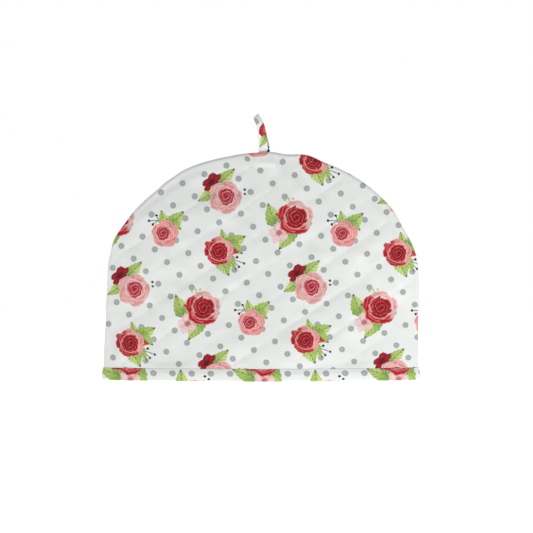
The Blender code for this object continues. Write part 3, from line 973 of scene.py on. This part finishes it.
def makeBinding(name, materials):
    near = binding["clearance"]
    far = near + binding["cloth"]
    # Height, offset from the cloth and share of the ripple, all round the folded strip: up its
    # outer side and down behind it, then up again inside the mouth and down the inner side
    outerRows = [
        (0.0, far - 0.9 * mm, 0.2),
        (0.2 * mm, far - 0.45 * mm, 0.4),
        (0.7 * mm, far - 0.08 * mm, 0.6),
        (1.8 * mm, far + 0.1 * mm, 0.8),
        (3.5 * mm, far + 0.2 * mm, 1.0),
        (5.5 * mm, far + 0.3 * mm, 1.0),
        (7.5 * mm, far + 0.32 * mm, 1.0),
        (9.5 * mm, far + 0.2 * mm, 0.8),
        (11.0 * mm, far - 0.25 * mm, 0.3),
        (11.8 * mm, far - 0.60 * mm, 0.1),
        (12.5 * mm, far - 0.66 * mm, 0.2),
        (13.2 * mm, far - 0.82 * mm, 0.1),
        (13.7 * mm, far - 1.00 * mm, 0.1),
        (14.0 * mm, near - 0.20 * mm, 0.0),
        (13.8 * mm, near - 0.3 * mm, 0.0),
        (8.0 * mm, near, 0.0),
        (binding["cloth"], near, 0.0),
    ]
    innerRows = [
        (binding["cloth"], near),
        (8.0 * mm, near),
        (13.7 * mm, near + 0.1 * mm),
        (14.0 * mm, near + 0.5 * mm),
        (13.8 * mm, far - 0.2 * mm),
        (13.0 * mm, far),
        (9.0 * mm, far + 0.15 * mm),
        (4.0 * mm, far + 0.15 * mm),
        (1.0 * mm, far),
        (0.3 * mm, far - 0.4 * mm),
        (0.0, far - 0.9 * mm),
    ]
    base = outerLine(0.0, 0.0)
    along = lineLength(base)
    ripple = creaseNoise(along / binding["rippleLength"] + 30.0, along * 0.0 + 4.0, 21)
    points, cloth = [], []
    for height, offset, share in outerRows:
        slant = creaseNoise((along + height) / (7.0 * mm) + 50.0, along * 0.0 + 9.0, 22)
        uneven = share * (binding["ripple"] * ripple + 0.18 * mm * slant)
        line = outerLine(height, offset + uneven)
        lowered = 0.25 * mm * creaseNoise(along / (16.0 * mm) + 11.0, along * 0.0 + 2.0, 23)
        level = height - (np.abs(lowered) if height > 9.0 * mm else 0.0 * lowered)
        x, z = placed(line[:, 0], level)
        points.append(np.stack([x, line[:, 1], z], axis=1))
        cloth.append(clothAlongBias(stripPlace(line), level))
    for height, offset in innerRows:
        line = innerLine(height, offset)
        x, z = placed(line[:, 0], np.full(len(line), height))
        points.append(np.stack([x, line[:, 1], z], axis=1))
        cloth.append(clothAlongBias(stripPlace(line), -z))
    around = len(along)
    faces = []
    for ring in range(len(points)):
        low, high = ring * around, (ring + 1) % len(points) * around
        for step in range(around):
            ahead = (step + 1) % around
            faces.append((low + step, low + ahead, high + ahead, high + step))
    return newPiece(name, np.concatenate(points), faces, np.concatenate(cloth), materials)


# LOOP


def loopMiddle(turn):
    # A point on the middle of the tape: 0 at the front of the neck, pi at the tip
    neck = archTop + loopTape["neck"]
    tip = archTop + loopTape["rise"] - loopTape["tape"] / 2.0
    z = blend(neck, tip, (1.0 - math.cos(turn)) / 2.0)
    legs = (loopTape["tape"] + cover["gap"]) / 2.0
    eye = loopTape["spread"] * math.sin(turn) * max(math.sin(turn / 2.0), 0.0) ** loopTape["taper"]
    lean = loopTape["lean"] * ((z - archTop) / loopTape["rise"]) ** loopTape["leanPower"]
    return Vector((loopTape["x"] - lean, -legs * math.cos(turn / 2.0) - eye, z))


def makeLoop(name, materials):
    legs = (loopTape["tape"] + cover["gap"]) / 2.0
    bottom = archTop - loopTape["tail"]
    neck = archTop + loopTape["neck"]
    steps = loopTape["steps"]
    middles = [loopMiddle(math.tau * step / steps) for step in range(steps + 1)]
    heights = [blend(bottom, neck, share) for share in (0.0, 0.3, 0.6, 0.85)]
    frontTail = [Vector((loopTape["x"], -legs, height)) for height in heights]
    backTail = [Vector((spot.x, legs, spot.z)) for spot in reversed(frontTail)]
    path = frontTail + middles + backTail
    half = loopTape["tape"] / 2.0
    wide = loopTape["stepsAcross"]
    topEdge = [-1.0 + 2.0 * step / wide for step in range(wide + 1)]
    section = [(share, 1.0) for share in topEdge] + [(share, -1.0) for share in reversed(topEdge)]
    points, cloth = [], []
    peak = archTop + loopTape["rise"]
    heights, narrowing = zip(*loopTape["widths"])
    for index, middle in enumerate(path):
        along = path[min(index + 1, len(path) - 1)] - path[max(index - 1, 0)]
        outward = Vector((0.0, -along.z, along.y)).normalized()
        share = (middle.z - archTop) / loopTape["rise"]
        nearTip = float(ease((share - 0.62) / 0.38))
        narrow = float(np.interp(share, heights, narrowing))
        for aside, face in section:
            across = aside * loopTape["width"] / 2.0 * narrow
            rim = (1.0 - abs(aside) ** 6) ** 0.5 if abs(aside) < 1.0 else 0.0
            seam = 0.22 * mm * math.exp(-(((abs(aside) - 0.8) / 0.1) ** 2))
            thick = face * (half * (0.35 + 0.65 * rim) - seam)
            drop = nearTip * (1.5 * max(across, 0.0) + 0.8 * max(-across, 0.0))
            point = middle + Vector((across, 0.0, -drop)) + outward * thick
            points.append(point)
            isFront = index < len(path) / 2
            cloth.append((point.x / mm, (point.z if isFront else 2.0 * peak - point.z) / mm, 0.0))
    count = len(section)
    faces = [tuple(reversed(range(count))), tuple(range(len(points) - count, len(points)))]
    for index in range(len(path) - 1):
        for corner in range(count):
            ahead = (corner + 1) % count
            low, high = index * count, (index + 1) * count
            faces.append((low + corner, low + ahead, high + ahead, high + corner))
    return newPiece(name, [tuple(point) for point in points], faces, cloth, materials)


# STITCHES

stitching = {"length": 2.3 * mm, "pitch": 3.1 * mm, "radius": 0.14 * mm, "sunk": 0.09 * mm}


def stitchMesh(name, starts, ends, normals, material):
    # Many short threads in one mesh, each a bent tube that dips into the cloth at its ends
    rings = [(0.0, -0.9, 0.55), (0.25, 0.25, 1.0), (0.5, 0.5, 1.0), (0.75, 0.25, 1.0), (1.0, -0.9, 0.55)]
    sides = 5
    along = ends - starts
    lengths = np.linalg.norm(along, axis=1)[:, None]
    heading = along / lengths
    aside = np.cross(heading, normals)
    blocks = []
    for share, lift, thick in rings:
        middle = starts + along * share + normals * (lift * stitching["radius"] - stitching["sunk"])
        for side in range(sides):
            turn = math.tau * side / sides
            ring = aside * math.cos(turn) + normals * math.sin(turn)
            blocks.append(middle + ring * stitching["radius"] * thick)
    each = len(rings) * sides
    points = np.stack(blocks, axis=1).reshape(-1, 3)
    pattern = [tuple(range(sides)), tuple(reversed(range(each - sides, each)))]
    for ring in range(len(rings) - 1):
        for side in range(sides):
            ahead = (side + 1) % sides
            low, high = ring * sides, (ring + 1) * sides
            pattern.append((low + side, high + side, high + ahead, low + ahead))
    faces = []
    for number in range(len(starts)):
        faces.extend(tuple(corner + number * each for corner in face) for face in pattern)
    return newPiece(name, points, faces, np.zeros((len(points), 3)), [material])


def panelSurface(x, z, side):
    y = -side * (outerFace(x, z, side) + creases(x, z, side))
    placedX, placedZ = placed(x, z)
    return np.stack([placedX, y, placedZ], axis=1)


def surfaceNormals(x, z, side):
    step = 0.3 * mm
    right = panelSurface(x + step, z, side) - panelSurface(x - step, z, side)
    up = panelSurface(x, z + step, side) - panelSurface(x, z - step, side)
    normal = np.cross(right, up) * side
    return normal / np.linalg.norm(normal, axis=1)[:, None]


def quiltStitches(side):
    # Start and end places of every stitch along the channels' grooves, on the even arch
    cosine, sine = math.cos(quilting["angle"]), math.sin(quilting["angle"])
    starts, ends = [], []
    reach = cover["archHalfWidth"] + archTop
    for channel in range(-8, 12):
        across = channel * quilting["pitch"]
        along = np.arange(-reach, reach, stitching["pitch"])
        for shift, bucket in ((0.0, starts), (stitching["length"], ends)):
            run = along + shift
            groove = across - lineWander(run, run * 0.0 + across)
            outsideX = run * cosine - groove * sine
            z = quilting["lowestGroove"] + run * sine + groove * cosine
            bucket.append(np.stack([outsideX * side, z], axis=1))
    starts, ends = np.concatenate(starts), np.concatenate(ends)
    keep = np.ones(len(starts), dtype=bool)
    for spots in (starts, ends):
        keep &= (spots[:, 1] > binding["height"] + 0.6 * mm) & (spots[:, 1] < archTop - 2.0 * mm)
        keep &= edgeDistance(spots[:, 0], spots[:, 1]) > 1.5 * mm
    return starts[keep], ends[keep]


def makeQuiltThread(name, side, material):
    starts, ends = quiltStitches(side)
    normals = surfaceNormals((starts[:, 0] + ends[:, 0]) / 2.0, (starts[:, 1] + ends[:, 1]) / 2.0, side)
    first = panelSurface(starts[:, 0], starts[:, 1], side)
    last = panelSurface(ends[:, 0], ends[:, 1], side)
    return stitchMesh(name, first, last, normals, material)


def makeBindingThread(name, material):
    height = binding["stitchHeight"]
    line = outerLine(height, binding["clearance"] + binding["cloth"] - binding["stitchPress"])
    x, z = placed(line[:, 0], np.full(len(line), height))
    ring = np.stack([x, line[:, 1], z], axis=1)
    closed = np.concatenate([ring, ring[:1]])
    steps = np.linalg.norm(np.diff(closed, axis=0), axis=1)
    walked = np.concatenate([[0.0], np.cumsum(steps)])
    count = int(walked[-1] / stitching["pitch"])
    begin = np.arange(count) * walked[-1] / count

    def spots(distance):
        distance = distance % walked[-1]
        return np.stack([np.interp(distance, walked, closed[:, axis]) for axis in range(3)], axis=1)

    first, last = spots(begin), spots(begin + stitching["length"])
    heading = last - first
    normals = np.stack([heading[:, 1], -heading[:, 0], heading[:, 2] * 0.0], axis=1)
    normals /= np.linalg.norm(normals, axis=1)[:, None]
    return stitchMesh(name, first, last, normals, material)


# STUDIO

studio = {
    "floorSize": 6.0,
    "floorColour": (0.93, 0.93, 0.925, 1.0),
    "floorGlow": 0.72,
    "glowRight": 1.25,
    "glowFar": 1.7,
    "skyLow": 0.55,
    "skyHigh": 0.28,
    "skySeen": 1.0,
    "keyPlace": (2.3, -1.7, 0.25),
    "keySize": 0.9,
    "keyWatts": 23.0,
    "fillPlace": (-2.0, -1.3, 0.2),
    "fillSize": 0.8,
    "fillWatts": 7.8,
    "viewMiddle": (6.1 * mm, 0.0, 126.0 * mm),
    "viewWidth": 592.2 * mm,
    "viewDistance": 5.0,
    "viewHeight": 0.9,
    "sensor": 36.0,
}


def makeStudio():
    floorMesh = bpy.data.meshes.new("studioFloor")
    half = studio["floorSize"] / 2.0
    corners = [(-half, -half, 0.0), (half, -half, 0.0), (half, half, 0.0), (-half, half, 0.0)]
    floorMesh.from_pydata(corners, [], [(0, 1, 2, 3)])
    floor = bpy.data.objects.new("studioFloor", floorMesh)
    bpy.context.scene.collection.objects.link(floor)
    material = bpy.data.materials.new("paleFloor")
    g = Graph(material)
    place = g.node("ShaderNodeTexCoord", {}, {}, 3)
    tone = g.mix(g.noise(place, 3.0) * 0.03, studio["floorColour"], (0.9, 0.9, 0.9, 1.0))
    shader = finishSurface(g, tone, None, 0.9, 0.0, 0.0)
    distance = g.ease(g.maths("LENGTH", place), 0.4, 1.6)
    rightwards = g.ease(place.parts()[0], -0.8, 0.8)
    grey = [(level, level, level, 1.0) for level in (1.0, studio["glowRight"], studio["glowFar"])]
    glow = g.mix(distance, g.mix(rightwards, grey[0], grey[1]), grey[2])
    g.links.new(glow.socket, shader.inputs["Emission Color"])
    shader.inputs["Emission Strength"].default_value = studio["floorGlow"]
    floorMesh.materials.append(material)

    world = bpy.data.worlds.new("studioSky")
    bpy.context.scene.world = world
    g = Graph(world)
    seen = g.node("ShaderNodeLightPath", {}, {}, 0)
    upwards = g.ease(g.node("ShaderNodeTexCoord", {}, {}, 0).parts()[2], 0.0, 1.0)
    light = g.mix(upwards, studio["skyLow"], studio["skyHigh"])
    strength = g.mix(seen, light, studio["skySeen"])
    sky = g.node("ShaderNodeBackground", {}, {"Color": (1.0, 1.0, 1.0, 1.0), "Strength": strength})
    g.links.new(sky.socket, g.nodes.new("ShaderNodeOutputWorld").inputs[0])

    for name in ("key", "fill"):
        light = bpy.data.lights.new(name + "Light", "AREA")
        light.shape = "DISK"
        light.size = studio[name + "Size"]
        light.energy = studio[name + "Watts"]
        lamp = bpy.data.objects.new(name + "Light", light)
        bpy.context.scene.collection.objects.link(lamp)
        lamp.location = studio[name + "Place"]
        aim = Vector(studio["viewMiddle"]) - lamp.location
        lamp.rotation_euler = aim.to_track_quat("-Z", "Y").to_euler()

    camera = bpy.data.cameras.new("camera")
    camera.sensor_width = studio["sensor"]
    camera.lens = studio["sensor"] * studio["viewDistance"] / studio["viewWidth"]
    camera.clip_end = 60.0
    eye = bpy.data.objects.new("camera", camera)
    bpy.context.scene.collection.objects.link(eye)
    tilt = math.radians(studio["viewHeight"])
    away = Vector((0.0, -math.cos(tilt), math.sin(tilt))) * studio["viewDistance"]
    eye.location = Vector(studio["viewMiddle"]) + away
    eye.rotation_euler = (-away).to_track_quat("-Z", "Y").to_euler()
    bpy.context.scene.camera = eye
    bpy.context.scene.view_settings.view_transform = "Standard"


makeStudio()
print("studio ready")

printed = printedCotton("printedCotton", posies, printStyle["dotStart"])
loopPrinted = printedCotton("loopCotton", loopPosies, loopTape["dotStart"])
plain = plainCotton("plainCotton")
thread = sewingThread("sewingThread")
print("cloth finishes ready")

panelFront = makePanel("panelFront", 1, [printed, plain])
panelBack = makePanel("panelBack", -1, [printed, plain])
print("panels ready")

hemBinding = makeBinding("hemBinding", [printed])
print("binding ready")

hangingLoop = makeLoop("hangingLoop", [loopPrinted])
print("loop ready")

quiltThreadFront = makeQuiltThread("quiltThreadFront", 1, thread)
quiltThreadBack = makeQuiltThread("quiltThreadBack", -1, thread)
bindingThread = makeBindingThread("bindingThread", thread)
print("stitches ready")

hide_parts("panel_front")
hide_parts("panel_back")
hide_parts("hem_binding")
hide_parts("hanging_loop")
